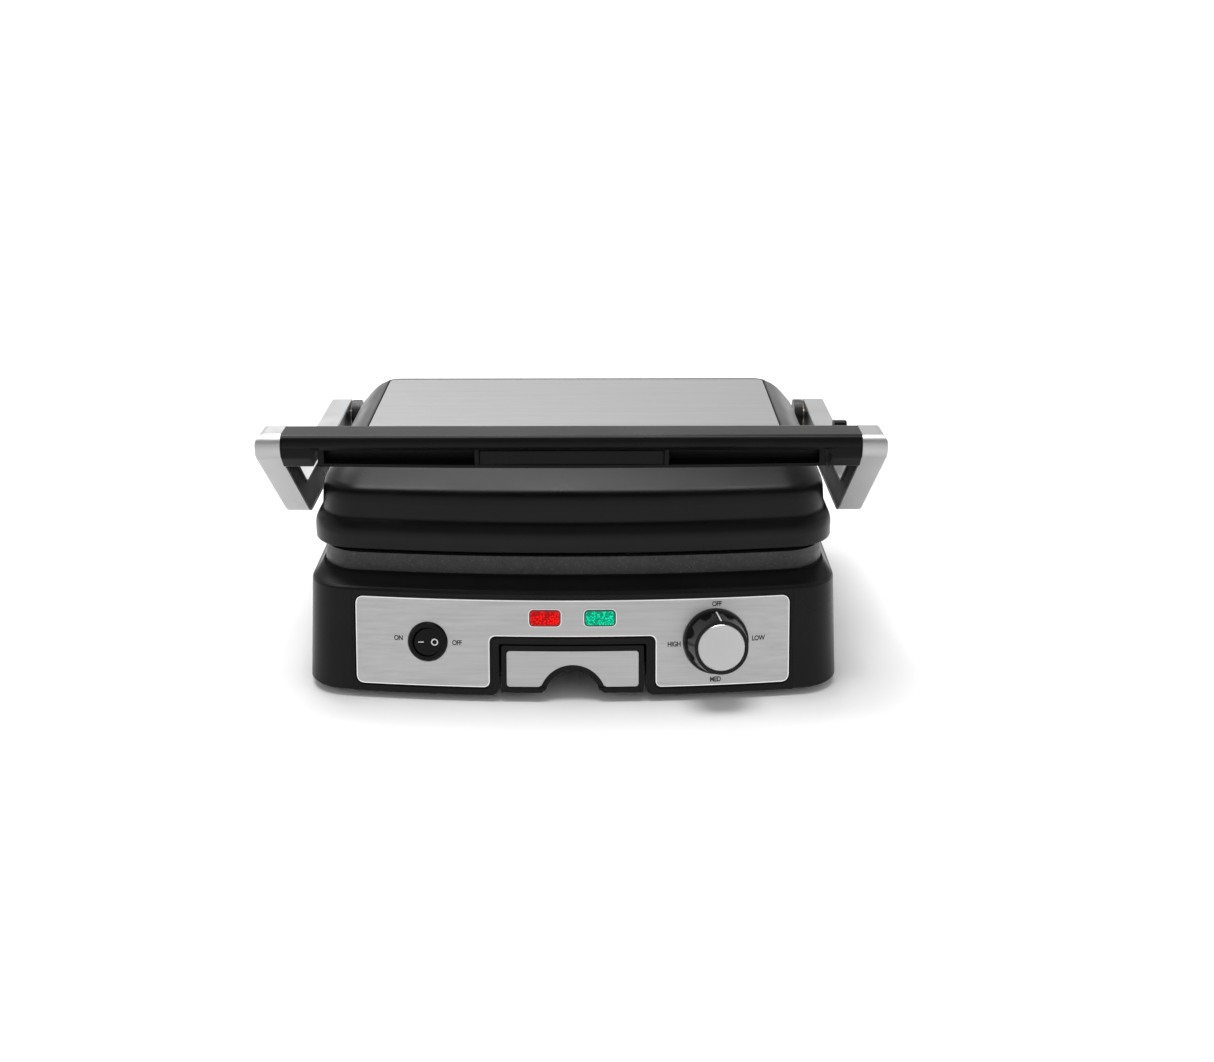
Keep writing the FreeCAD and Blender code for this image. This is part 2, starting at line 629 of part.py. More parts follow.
def plate_bosses(z0, z1):
    """Four bosses on the back of a plate, with blind screw holes."""
    bosses = []
    for x, y in boss_places():
        bosses.append(rod(3.8, V(x, y, min(z0, z1)), V(x, y, max(z0, z1))))
    return bosses


def plate_screws(face_z, up):
    """Screws through a reflector pan into the plate's bosses; the heads are on the face_z side."""
    solids = []
    for x, y in boss_places():
        head = rod(3.4, V(x, y, face_z), V(x, y, face_z - up * 1.6))
        shank = rod(1.45, V(x, y, face_z), V(x, y, face_z + up * 8))
        solids.append(fuse([head, shank]))
    return Part.makeCompound(solids)


def thermal_fuse(z, seat_z):
    """Ceramic-sleeved thermal fuse in a clip that reaches its pan at seat_z."""
    body = rod(2.6, V(-48, 150, z), V(-22, 150, z))
    clip = box(-39, -31, 146, 154, min(seat_z, z - 2.4), max(seat_z, z + 2.4))
    return fuse([body, clip])


def terminal_block():
    block = box(60, 88, 235, 258, FOOT_H + 2.6, FOOT_H + 20)
    for x in (65, 74, 83):
        block = block.cut(rod(2.2, V(x, 230, FOOT_H + 10), V(x, 262, FOOT_H + 10)))
    return block


def cord_gland():
    """Bush that the supply cord passes through in the rear wall."""
    rings = []
    for radius, y0, y1 in ((7.9, -8, 1.5), (11.0, -0.6, 3.2), (9.6, -8, -5.6)):
        ends = [V(GLAND_X, BASE_REAR + y, GLAND_Z) for y in (y0, y1)]
        rings.append(tube(radius, 3.6, *ends))
    return fuse(rings)


# ---------------------------------------------------------------- main hinge
def hinge_bracket(side):
    """Ear outside the base, carried by a foot on the rear of the deck."""
    low = DECK_Z + 0.02
    radius = 10.6
    ear = prism_x([(HINGE_Y - radius, low, 0), (HINGE_Y - radius, HINGE_Z, 8), (HINGE_Y + radius, HINGE_Z, 8),
                   (HINGE_Y + radius, low + 6, 5), (HINGE_Y + 1, low, 0)], EAR_IN, EAR_OUT)
    cheek = rod(radius, V(EAR_IN, HINGE_Y, HINGE_Z), V(EAR_OUT, HINGE_Y, HINGE_Z))
    foot = prism_z([(108, 262.5, 4), (EAR_IN + 1, 269, 0), (EAR_IN + 1, 281, 0), (108, 280, 4)], low, low + 5)
    web = prism_x([(269, low, 0), (269, low + 9, 3), (280, low + 9, 3), (280, low, 0)], 132, EAR_IN + 1)
    bracket = fuse([ear, cheek, foot, web])
    bracket = bracket.cut(rod(PIN_R, V(150, HINGE_Y, HINGE_Z), V(160, HINGE_Y, HINGE_Z)))
    for x in BRACKET_SCREWS:
        bracket = bracket.cut(rod(1.7, V(x, 273, DECK_Z - 1), V(x, 273, DECK_Z + 6)))
    return bracket if side > 0 else mirror_x(bracket)


def bracket_screws():
    solids = []
    seat = DECK_Z + 5.02
    for x in [s * x for s in (-1, 1) for x in BRACKET_SCREWS]:
        dome = Part.makeSphere(3.1, V(x, 273, seat - 1.4))
        head = dome.common(box(x - 4, x + 4, 269, 277, seat, seat + 3))
        shank = rod(1.6, V(x, 273, DECK_Z + 0.1), V(x, 273, seat + 0.2))
        solids.append(fuse([head, shank]))
    return Part.makeCompound(solids)


def hinge_pins():
    """Hollow pins; the lid's supply wires pass through them."""
    solids = []
    for s in (-1, 1):
        start, end = V(s * EAR_IN, HINGE_Y, HINGE_Z), V(s * (ARM_OUT - 6.1), HINGE_Y, HINGE_Z)
        solids.append(tube(PIN_R, 2.2, start, end))
    return Part.makeCompound(solids)


def hinge_bushes():
    solids = []
    for s in (-1, 1):
        start, end = V(s * (ARM_IN + 0.4), HINGE_Y, HINGE_Z), V(s * (ARM_OUT - 5.8), HINGE_Y, HINGE_Z)
        solids.append(tube(6.4, PIN_R + RUN_FIT, start, end))
    return Part.makeCompound(solids)


# ---------------------------------------------------------------- arms and handle
def arm_corners():
    """Side profile of an arm: handle end, sloping limb, rounded heel and level rear limb."""
    slope = math.tan(ARM_SLOPE)
    heel_y = HANDLE_FRONT + (ARM_KINK_Z - ARM_BOTTOM_Z) / slope
    upper_z = ARM_KINK_Z + ARM_LIMB / math.cos(ARM_SLOPE)      # upper line of the limb at HANDLE_FRONT
    crotch_y = HANDLE_FRONT + (upper_z - ARM_TOP_Z) / slope
    back_z = upper_z - (HANDLE_BACK - HANDLE_FRONT) * slope
    end = (ARM_TOP_Z - ARM_BOTTOM_Z) / 2                       # radius of the end round the hinge
    return [
        (HANDLE_FRONT, ARM_KINK_Z, 7), (HANDLE_FRONT, HANDLE_TOP_Z, 7), (HANDLE_BACK, HANDLE_TOP_Z, 7),
        (HANDLE_BACK, back_z, 4), (crotch_y, ARM_TOP_Z, 8), (HINGE_Y + end, ARM_TOP_Z, end - 0.05),
        (HINGE_Y + end, ARM_BOTTOM_Z, end - 0.05), (heel_y, ARM_BOTTOM_Z, 26),
    ]


def inset_prism(corners, inset, x0, x1):
    """Extrusion along x of a side profile moved inwards by inset."""
    wire = rounded_wire(corners, lambda y, z: V(x0, y, z))
    smaller = Part.Face(wire).makeOffset2D(-inset)
    return Part.Face(smaller.Wires[0]).extrude(V(x1 - x0, 0, 0))


def lever_slot(grow):
    """Room for the release lever in the right arm."""
    x0, x1 = LEVER_X - 4.1 - grow, LEVER_X + 4.1 + grow
    return box(x0, x1, LEVER_Y - 9, LEVER_Y + 19, ARM_BOTTOM_Z + 4, ARM_TOP_Z + 2)


def arm_shell(side):
    """Metal arm: outer face and a rim all round, open towards the lid."""
    corners = arm_corners()
    arm = prism_x(corners, ARM_IN, ARM_OUT)
    outer_edges = [e for e in arm.Edges if e.BoundBox.XMin > ARM_OUT - 0.01]
    arm = arm.makeFillet(1.1, outer_edges)
    corner = box(ARM_OUT - 5, ARM_OUT + 1, 10, 70, HANDLE_TOP_Z - 5, HANDLE_TOP_Z + 1)
    corner = corner.cut(rod(5.0, V(ARM_OUT - 5, 5, HANDLE_TOP_Z - 5), V(ARM_OUT - 5, 75, HANDLE_TOP_Z - 5)))
    arm = arm.cut(corner)
    arm = arm.cut(inset_prism(corners, ARM_SKIN, ARM_IN - 1, ARM_OUT - 5.6))
    arm = fuse([arm])
    if side > 0:
        arm = arm.cut(lever_slot(0.5))
    return arm if side > 0 else mirror_x(arm)


def arm_liner(side):
    """Black filler of the arm, with the hinge bore and the slot for the lid's pivot."""
    corners = arm_corners()
    liner = inset_prism(corners, ARM_SKIN + 0.12, ARM_IN + 0.35, ARM_OUT - 5.7)
    liner = liner.cut(rod(6.45, V(ARM_IN - 1, HINGE_Y, HINGE_Z), V(ARM_OUT, HINGE_Y, HINGE_Z)))
    half = PIN_R + 0.12
    top_z = PIVOT_Z + FLOAT_TRAVEL + half
    slot = rectangle(PIVOT_Y - half, PIVOT_Y + half, PIVOT_Z - half, top_z, half - 0.01)
    liner = liner.cut(prism_x(slot, ARM_IN - 1, ARM_OUT))
    if side > 0:
        liner = liner.cut(lever_slot(0.3))
    return liner if side > 0 else mirror_x(liner)


def handle_bar():
    """Full-width upper moulding with a deeper block at each end."""
    end, block_in = ARM_IN - 0.15, 143.0
    back = HANDLE_BACK - 0.4
    span = prism_x([(HANDLE_FRONT + 2.5, GRIP_SPLIT_Z, 0.8), (HANDLE_FRONT - 0.4, GRIP_SPLIT_Z + 3.6, 3),
                    (HANDLE_FRONT + 2.6, HANDLE_TOP_Z - 0.1, 4), (back, HANDLE_TOP_Z - 0.1, 6.8),
                    (back, GRIP_SPLIT_Z, 1)], -end, end)
    profile = [(HANDLE_FRONT + 7.3, HANDLE_LOW_Z, 1.5), (HANDLE_FRONT + 1.2, ARM_KINK_Z - 0.8, 4),
               (HANDLE_FRONT + 1.2, GRIP_SPLIT_Z + 4, 0), (back, GRIP_SPLIT_Z + 4, 0), (back, HANDLE_LOW_Z, 3)]
    block = prism_x(profile, block_in, end)
    bend = 4.2                      # inner radius where each block curves up into the span
    bend_x, bend_z = block_in - bend, GRIP_SPLIT_Z - bend
    web = box(bend_x, block_in + 0.2, HANDLE_FRONT + 1.3, HANDLE_FRONT + 5.5, bend_z, GRIP_SPLIT_Z + 1)
    web = web.cut(rod(bend, V(bend_x, HANDLE_FRONT, bend_z), V(bend_x, HANDLE_FRONT + 7, bend_z)))
    bar = fuse([span, block, web, mirror_x(block), mirror_x(web)])
    hollow = box(-140, 140, HANDLE_FRONT + 7, HANDLE_BACK - 4, GRIP_SPLIT_Z - 1, HANDLE_TOP_Z - 3.4)
    return bar.cut(hollow)


def grip_underside():
    """Lower moulding: lip, back wall, centre pad and end strips round two long pockets."""
    half, low, top = 140.8, GRIP_LOW_Z + 1, GRIP_SPLIT_Z - 0.1
    lip_front, rear = HANDLE_FRONT + 7, HANDLE_BACK - 6
    bowed_edge = Part.Arc(V(-half, lip_front, GRIP_LOW_Z), V(0, HANDLE_FRONT + 3.2, GRIP_LOW_Z),
                          V(half, lip_front, GRIP_LOW_Z)).toShape()
    back_corners = [V(half, lip_front, GRIP_LOW_Z), V(half, rear, GRIP_LOW_Z), V(-half, rear, GRIP_LOW_Z),
                    V(-half, lip_front, GRIP_LOW_Z)]
    outline = Part.Wire([bowed_edge] + Part.makePolygon(back_corners).Edges)
    lip = Part.Face(outline).extrude(V(0, 0, 1.7))
    wall = box(-half, half, HANDLE_FRONT + 16, HANDLE_BACK - 5, low, top)
    pad = prism_x([(HANDLE_FRONT + 4.0, low, 1), (HANDLE_FRONT + 3.6, top, 1.5), (HANDLE_FRONT + 18, top, 0),
                   (HANDLE_FRONT + 18, low, 0)], -50.5, 50.5)
    pieces = [lip, wall, pad]
    for s in (-1, 1):
        rib_x, strip_x = s * 52.2, s * 138.6
        pieces.append(rod(1.9, V(rib_x, HANDLE_FRONT + 5.6, low), V(rib_x, HANDLE_FRONT + 5.6, top)))
        pieces.append(box(rib_x - 1.6, rib_x + 1.6, HANDLE_FRONT + 5.6, HANDLE_FRONT + 17, low, top))
        pieces.append(box(strip_x - 1.7, strip_x + 1.7, HANDLE_FRONT + 6.5, HANDLE_FRONT + 17, low, top))
    return fuse(pieces)


def handle_screws():
    """Screws that hold the lower moulding up into the bar."""
    solids = []
    y = HANDLE_BACK - 14
    for x in (-110, -25, 25, 110):
        head = rod(3.0, V(x, y, GRIP_LOW_Z - 1.4), V(x, y, GRIP_LOW_Z - 0.02))
        solids.append(head.cut(cross_slot(V(x, y, GRIP_LOW_Z - 1.45))))
    return Part.makeCompound(solids)


def release_lever():
    """Hinge release: a thumb blade on a hub inside the right arm."""
    x0, x1 = LEVER_X - LEVER_HALF, LEVER_X + LEVER_HALF
    blade = prism_x([(LEVER_Y - 5.5, ARM_TOP_Z + 21.0, 2.5), (LEVER_Y + 4.5, ARM_TOP_Z + 19.5, 2.5),
                     (LEVER_Y + 5, LEVER_HUB_Z, 0), (LEVER_Y - 5, LEVER_HUB_Z, 0)], x0, x1)
    lever = fuse([blade, rod(5.0, V(x0, LEVER_Y, LEVER_HUB_Z), V(x1, LEVER_Y, LEVER_HUB_Z))])
    spring_room = rod(3.8, V(LEVER_X + 0.3, LEVER_Y, LEVER_HUB_Z), V(x1 + 1, LEVER_Y, LEVER_HUB_Z))
    bore = rod(1.5 + RUN_FIT, V(x0 - 1, LEVER_Y, LEVER_HUB_Z), V(x1 + 1, LEVER_Y, LEVER_HUB_Z))
    return lever.cut(spring_room).cut(bore)


def lever_pin():
    return rod(1.5, V(LEVER_X - 4.35, LEVER_Y, LEVER_HUB_Z), V(LEVER_X + 4.35, LEVER_Y, LEVER_HUB_Z))


def lever_spring():
    """Flat-wire torsion coil round the lever's pin."""
    inner, outer, thick, turns, gap = 2.0, 3.0, 0.55, 3, 0.85
    coil = Part.makeHelix(gap, gap * turns, (inner + outer) / 2)
    corners = [V(inner, 0, 0), V(outer, 0, 0), V(outer, 0, thick), V(inner, 0, thick), V(inner, 0, 0)]
    spring = Part.Wire(coil.Edges).makePipeShell([Part.makePolygon(corners)], True, True)
    spring.rotate(V(0, 0, 0), Y_AXIS, 90)
    spring.translate(V(LEVER_X + 0.45, LEVER_Y, LEVER_HUB_Z))
    return spring


# ---------------------------------------------------------------- lid
def lid_levels(inset):
    """Plan outlines of the lid from its flange to the top, moved inwards by inset."""
    d = inset
    return [
        (FLANGE_Z, FLANGE_FRONT + d, FLANGE_HALF - d, LID_REAR - d, LID_CORNER - d),
        (FLANGE_Z + 10.5, FLANGE_FRONT + d, FLANGE_HALF - d, LID_REAR - d, LID_CORNER - d),
        (FLANGE_Z + 13.6, FLANGE_FRONT + 1.2 + d, FLANGE_HALF - 1.0 - d, LID_REAR - 0.2 - d, LID_CORNER - d),
        (LID_WALL_Z, FLANGE_FRONT + 4.2 + d, FLANGE_HALF - 2.8 - d, LID_REAR - 0.4 - d, LID_CORNER - 1 - d),
        (LID_WALL_Z + 1.2, LID_FRONT + d, LID_HALF - d, LID_REAR - 0.6 - d, LID_CORNER - 2 - d),
        (LID_CREST_Z, LID_FRONT + 2.5 + d, LID_HALF - 0.8 - d, LID_REAR - 1.5 - d, LID_CORNER - 2 - d),
    ]


def lid_body(inset, top_z):
    """The lid's whole form: flange, wall, crest and the crowned slope up to the steel plate."""
    edge_z = LID_CREST_Z + 1.6
    edge = (LID_FRONT + 4.6, LID_HALF - 2.4, LID_REAR - 3.5, LID_CORNER - 3)
    top = (LID_PLATE_FRONT - 2.5, LID_PLATE_HALF + 1.8, LID_PLATE_REAR + 2.2, 8.0 + inset / 2)

    def moved_in(outline):
        front, half, rear, corner = outline
        return (front + inset, half - inset, rear - inset, corner - inset)

    crown = [low + (high - low) * share for low, high, share in zip(edge, top, (0.62, 0.45, 0.45, 0.40))]
    levels = lid_levels(inset)
    levels.append((edge_z,) + moved_in(edge))
    levels.append((edge_z + 0.72 * (top_z - edge_z),) + moved_in(crown))
    levels.append((top_z,) + moved_in(top))
    return plan_loft(levels)


def lid_plate_slab(z0, z1, grow):
    """The steel plate's outline as a slab, grown by grow."""
    return plan_slab(z0, z1, LID_PLATE_FRONT - grow, LID_PLATE_HALF + grow, LID_PLATE_REAR + grow, 5.0 + grow)


def lid_housing():
    body = lid_body(0, LID_TOP_Z)
    cavity = lid_body(WALL + 0.4, LID_TOP_Z - 3.4)
    lip = 3.85                      # the flange's thickness round the upper plate
    seat_z = FLANGE_Z + 9.4
    plate_rim = [FLANGE_FRONT + lip, FLANGE_HALF - lip, PLATE_REAR - 0.3, LID_CORNER - lip]
    plate_room = plan_slab(FLANGE_Z - 1, seat_z, *plate_rim)
    shell = body.cut(cavity.cut(box(-200, 200, 0, 400, 0, seat_z))).cut(plate_room)
    shell = shell.cut(lid_plate_slab(LID_TOP_Z - 1.3, LID_TOP_Z + 2, 0.75))
    for s in (-1, 1):
        shell = shell.cut(rod(8.0, V(s * 140, PIVOT_Y, PIVOT_Z), V(s * 160, PIVOT_Y, PIVOT_Z)))
    return shell


def lid_top_plate():
    return lid_plate_slab(LID_TOP_Z - 1.25, LID_TOP_Z - 0.1, 0)


def lid_pivot_bosses():
    """Bushes in the lid's sides that turn on the pivot pins."""
    solids = []
    for s in (-1, 1):
        body = rod(7.9, V(s * 147.3, PIVOT_Y, PIVOT_Z), V(s * 152.5, PIVOT_Y, PIVOT_Z))
        flange = rod(9.0, V(s * 152.5, PIVOT_Y, PIVOT_Z), V(s * 156.5, PIVOT_Y, PIVOT_Z))
        bore = rod(PIN_R + RUN_FIT, V(s * 148.3, PIVOT_Y, PIVOT_Z), V(s * 160, PIVOT_Y, PIVOT_Z))
        solids.append(fuse([body, flange]).cut(bore))
    return Part.makeCompound(solids)


def lid_pivot_pins():
    """Pins that carry the lid and ride in the arms' slots."""
    solids = []
    for s in (-1, 1):
        shank = rod(PIN_R, V(s * 148.6, PIVOT_Y, PIVOT_Z), V(s * 167.2, PIVOT_Y, PIVOT_Z))
        collar = rod(6.2, V(s * 156.8, PIVOT_Y, PIVOT_Z), V(s * 159.2, PIVOT_Y, PIVOT_Z))
        solids.append(fuse([shank, collar]))
    return Part.makeCompound(solids)


# ---------------------------------------------------------------- everything
def build_nodes():
    nodes = {
        "base_housing": base_housing(),
        "bottom_cover": bottom_cover(),
        "feet": feet(),
        "bottom_screws": bottom_screws(),
        "control_fascia": control_fascia(),
        "control_panel": control_panel(),
        "red_lens": indicator_lens(-1),
        "green_lens": indicator_lens(1),
        "neon_lamps": neon_lamps(),
        "switch_body": switch_body(),
        "rocker_button": rocker_button(),
        "knob": knob(),
        "knob_cap": knob_cap(),
        "thermostat_shaft": thermostat_shaft(),
        "thermostat_body": thermostat_body(),
        "drip_tray": drip_tray(),
        "tray_front_plate": tray_front_plate(),
        "tray_rails": tray_rails(),
        "lower_grill_plate": lower_grill_plate(),
        "lower_heater": lower_heater(),
        "lower_reflector": lower_reflector(),
        "lower_plate_screws": plate_screws(LOWER_PAN_Z, 1),
        "lower_thermal_fuse": thermal_fuse(LOWER_PAN_Z + 3.6, LOWER_PAN_Z + PAN_WALL),
        "terminal_block": terminal_block(),
        "cord_gland": cord_gland(),
        "bracket_screws": bracket_screws(),
        "hinge_pins": hinge_pins(),
        "hinge_bushes": hinge_bushes(),
        "handle_bar": handle_bar(),
        "grip_underside": grip_underside(),
        "handle_screws": handle_screws(),
        "release_lever": release_lever(),
        "lever_pin": lever_pin(),
        "lever_spring": lever_spring(),
        "lid_housing": lid_housing(),
        "lid_top_plate": lid_top_plate(),
        "upper_grill_plate": upper_grill_plate(),
        "upper_heater": upper_heater(),
        "upper_reflector": upper_reflector(),
        "upper_thermal_fuse": thermal_fuse(UPPER_PAN_Z - 2.9, UPPER_PAN_Z),
        "lid_pivot_bosses": lid_pivot_bosses(),
        "lid_pivot_pins": lid_pivot_pins(),
        "upper_plate_screws": plate_screws(UPPER_PAN_Z + PAN_WALL, -1),
    }
    for name, side in SIDES.items():
        nodes["hinge_bracket_" + name] = hinge_bracket(side)
        nodes["arm_" + name] = arm_shell(side)
        nodes["arm_liner_" + name] = arm_liner(side)
    return nodes


def export_all():
    os.makedirs("parts", exist_ok=True)
    nodes = build_nodes()
    whole = FreeCAD.BoundBox()
    for shape in nodes.values():
        whole.add(shape.BoundBox)
    shift = -(whole.YMin + whole.YMax) / 2
    for name, shape in sorted(nodes.items()):
        placed = shape.copy()
        placed.translate(V(0, shift, 0))
        placed.exportStep("parts/" + name + ".step")
        summary = (name, len(shape.Solids), shape.isValid(), shape.Volume)
        print("%-20s %2d solids, valid %s, %9.0f mm3" % summary)
    print("y shift", shift, "box", whole)


if __name__ == "__main__":
    export_all()
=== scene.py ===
import json
import math

import bpy
from mathutils import Matrix, Vector


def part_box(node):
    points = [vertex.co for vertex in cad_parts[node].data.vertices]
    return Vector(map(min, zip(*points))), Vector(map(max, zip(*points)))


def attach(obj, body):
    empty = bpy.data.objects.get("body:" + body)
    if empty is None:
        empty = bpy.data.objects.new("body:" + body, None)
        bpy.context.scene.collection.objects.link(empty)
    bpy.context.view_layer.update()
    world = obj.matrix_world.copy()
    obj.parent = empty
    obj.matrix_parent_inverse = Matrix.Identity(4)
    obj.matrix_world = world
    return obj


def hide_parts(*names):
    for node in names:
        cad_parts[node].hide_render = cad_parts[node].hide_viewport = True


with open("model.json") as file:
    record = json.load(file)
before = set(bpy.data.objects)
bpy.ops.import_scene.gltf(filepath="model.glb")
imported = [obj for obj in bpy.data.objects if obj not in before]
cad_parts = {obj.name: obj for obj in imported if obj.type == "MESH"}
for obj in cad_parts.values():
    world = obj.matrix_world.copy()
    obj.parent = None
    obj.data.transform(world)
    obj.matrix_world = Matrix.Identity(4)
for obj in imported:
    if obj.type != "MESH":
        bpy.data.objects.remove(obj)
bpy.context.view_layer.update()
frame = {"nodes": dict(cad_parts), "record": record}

# Panini press: its looks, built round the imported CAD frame, with +X right, +Y back and +Z up.
# The scene is in metres. The press's own shapes are worked out in millimetres, which MM converts.

MM = 0.001

# ---------------------------------------------------------------- driving sizes, from the frame
FLANGE_FRONT = 35 * MM      # the lid's flange stands back this far from the base's front
FOOT_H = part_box("base_housing")[0].z    # the casing's lower edge above the table
FRONT_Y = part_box("lid_housing")[0].y - FLANGE_FRONT     # the base's lower front edge, in the middle
FRONT_LEAN = 13.5 / 57      # how far the front leans back for each unit of height
BOW_R = 900 * MM            # plan radius of the bowed fronts
KNOB_X, SWITCH_X, LAMP_X = 80.5, -81.5, 15.4    # middles of the controls, in millimetres
DIAL_H, LAMP_H = 28.7, 43.0     # and their heights above the casing's lower edge
ROCKER_TILT = math.radians(8)   # the rocker stands off square with OFF pressed
ROCKER_PIVOT = 2.0              # depth of its pivot behind the front
PANEL_SUNK = 0.25               # depth of the control panel's face behind the front


def front_y(x, z):
    """y of the base's leaning, bowed front surface, all in metres."""
    return FRONT_Y + (z - FOOT_H) * FRONT_LEAN + BOW_R - math.sqrt(BOW_R ** 2 - x ** 2)


def from_front(y):
    """y of a distance behind the base's lower front edge, given in millimetres."""
    return FRONT_Y + y * MM


def front_frame(x, h):
    """Axes across, up and out of the front's surface at x and height h, both in millimetres."""
    turn = math.asin(x * MM / BOW_R)
    across = Vector((math.cos(turn), math.sin(turn), 0))
    out = across.cross(Vector((0, FRONT_LEAN, 1))).normalized()
    up = out.cross(across)
    z = FOOT_H + h * MM
    axes = Matrix((across, up, out)).transposed().to_4x4()
    return Matrix.Translation((x * MM, front_y(x * MM, z), z)) @ axes


# ---------------------------------------------------------------- node helpers
MIX_FACTOR, MIX_FIRST, MIX_SECOND, MIXED = 0, 6, 7, 2   # places of a mix node's colour sockets


def scaled(colour, factor):
    return tuple(c * factor for c in colour)


def set_inputs(node, values):
    for socket, value in values.items():
        node.inputs[socket].default_value = value


class Shader:
    """A principled material with short calls for the textures that drive it."""

    def __init__(self, name, colour, roughness, metallic=0.0):
        self.material = bpy.data.materials.new(name)
        self.material.use_nodes = True
        self.tree = self.material.node_tree
        self.bsdf = self.tree.nodes["Principled BSDF"]
        self.colour = colour
        self.put("Base Color", (*colour, 1)).put("Roughness", roughness).put("Metallic", metallic)
        self.place = self.add("ShaderNodeTexCoord").outputs["Object"]

    def add(self, kind, **values):
        node = self.tree.nodes.new(kind)
        for key, value in values.items():
            setattr(node, key, value)
        return node

    def link(self, source, target):
        self.tree.links.new(source, target)

    def put(self, socket, value):
        """Sets one of the shader's sockets to a constant."""
        self.bsdf.inputs[socket].default_value = value
        return self

    def texture(self, kind, stretch, inputs):
        """A 3-D texture laid through the object, with its coordinates multiplied by stretch."""
        mapping = self.add("ShaderNodeMapping")
        set_inputs(mapping, {"Scale": stretch})
        self.link(self.place, mapping.inputs["Vector"])
        node = self.add(kind)
        set_inputs(node, inputs)
        self.link(mapping.outputs["Vector"], node.inputs["Vector"])
        return node

    def noise(self, scale, detail, stretch=(1, 1, 1), roughness=0.5):
        inputs = {"Scale": scale, "Detail": detail, "Roughness": roughness}
        return self.texture("ShaderNodeTexNoise", stretch, inputs).outputs["Fac"]

    def cells(self, scale, stretch=(1, 1, 1)):
        return self.texture("ShaderNodeTexVoronoi", stretch, {"Scale": scale}).outputs["Distance"]

    def spread(self, source, low, high, start=0.3, end=0.7):
        """Maps source from start..end to low..high."""
        node = self.add("ShaderNodeMapRange")
        set_inputs(node, {"From Min": start, "From Max": end, "To Min": low, "To Max": high})
        self.link(source, node.inputs["Value"])
        return node.outputs["Result"]

    def tint(self, factor, first, second):
        """Mixes the base colour from first to second as factor goes from 0 to 1."""
        node = self.add("ShaderNodeMix", data_type="RGBA")
        self.link(factor, node.inputs[MIX_FACTOR])
        node.inputs[MIX_FIRST].default_value = (*first, 1)
        node.inputs[MIX_SECOND].default_value = (*second, 1)
        self.link(node.outputs[MIXED], self.bsdf.inputs["Base Color"])

    def mottle(self, pattern, darkest, lightest, start=0.3, end=0.7):
        """Varies the base colour between two multiples of it, as the pattern goes from start to end."""
        factor = self.spread(pattern, 0, 1, start, end)
        self.tint(factor, scaled(self.colour, darkest), scaled(self.colour, lightest))

    def rough(self, pattern, low, high):
        self.link(self.spread(pattern, low, high), self.bsdf.inputs["Roughness"])

    def relief(self, height, depth, strength):
        """Bump of the given depth in metres, laid over any bump that is there."""
        normal = self.bsdf.inputs["Normal"]
        node = self.add("ShaderNodeBump")
        set_inputs(node, {"Strength": strength, "Distance": depth})
        self.link(height, node.inputs["Height"])
        if normal.is_linked:
            self.link(normal.links[0].from_socket, node.inputs["Normal"])
        self.link(node.outputs["Normal"], normal)


# ---------------------------------------------------------------- materials
def moulded_plastic(name, colour, low, high, grain, gloss):
    """Injection-moulded plastic: spark-eroded grain of a given depth and faint handling marks."""
    shader = Shader(name, colour, (low + high) / 2)
    shader.mottle(shader.noise(scale=38, detail=4), 0.82, 1.22)
    shader.rough(shader.noise(scale=22, detail=5, roughness=0.6), low, high)
    shader.relief(shader.noise(scale=2600, detail=2), grain * MM, strength=0.5)
    return shader.put("Specular IOR Level", gloss).material


def brushed_metal(name, colour, low, high, gain):
    """Metal with fine straight brushing from side to side; gain sets how strongly it shows."""
    shader = Shader(name, colour, (low + high) / 2, metallic=1.0)
    streaks = (0.012, 1.0, 1.0)
    fine = shader.noise(scale=3200, detail=2, stretch=streaks, roughness=0.6)
    coarse = shader.noise(scale=520, detail=3, stretch=streaks, roughness=0.6)
    shader.mottle(coarse, 1 - 0.16 * gain, 1 + 0.12 * gain, start=0.25, end=0.75)
    shader.rough(fine, low, high)
    shader.relief(fine, 0.008 * MM, strength=0.6 * gain)
    shader.relief(coarse, 0.012 * MM, strength=0.4 * gain)
    return shader.material


def satin_metal(name, colour, low, high):
    """Plated part with a fine bead-blasted finish, and the brighter steel of the painted highlight rims.
    """
    shader = Shader(name, colour, (low + high) / 2, metallic=1.0)
    shader.mottle(shader.noise(scale=30, detail=4), 0.94, 1.05)
    shader.rough(shader.noise(scale=60, detail=4), low, high)
    shader.relief(shader.noise(scale=2400, detail=2), 0.006 * MM, strength=0.5)
    return shader.material


def non_stick():
    """Cast plate with a dark coating full of pale specks."""
    dark, speck = (0.012, 0.012, 0.0125), (0.17, 0.17, 0.17)
    shader = Shader("non_stick", dark, roughness=0.45)
    dots = shader.spread(shader.cells(scale=1500), 1, 0, start=0.12, end=0.30)
    patches = shader.spread(shader.noise(scale=900, detail=2), 0, 1, start=0.50, end=0.62)
    both = shader.add("ShaderNodeMath", operation="MULTIPLY")
    shader.link(dots, both.inputs[0])
    shader.link(patches, both.inputs[1])
    shader.tint(both.outputs["Value"], dark, speck)
    shader.rough(shader.noise(scale=300, detail=3), 0.34, 0.52)
    shader.relief(shader.noise(scale=700, detail=3), 0.05 * MM, strength=0.5)
    return shader.material


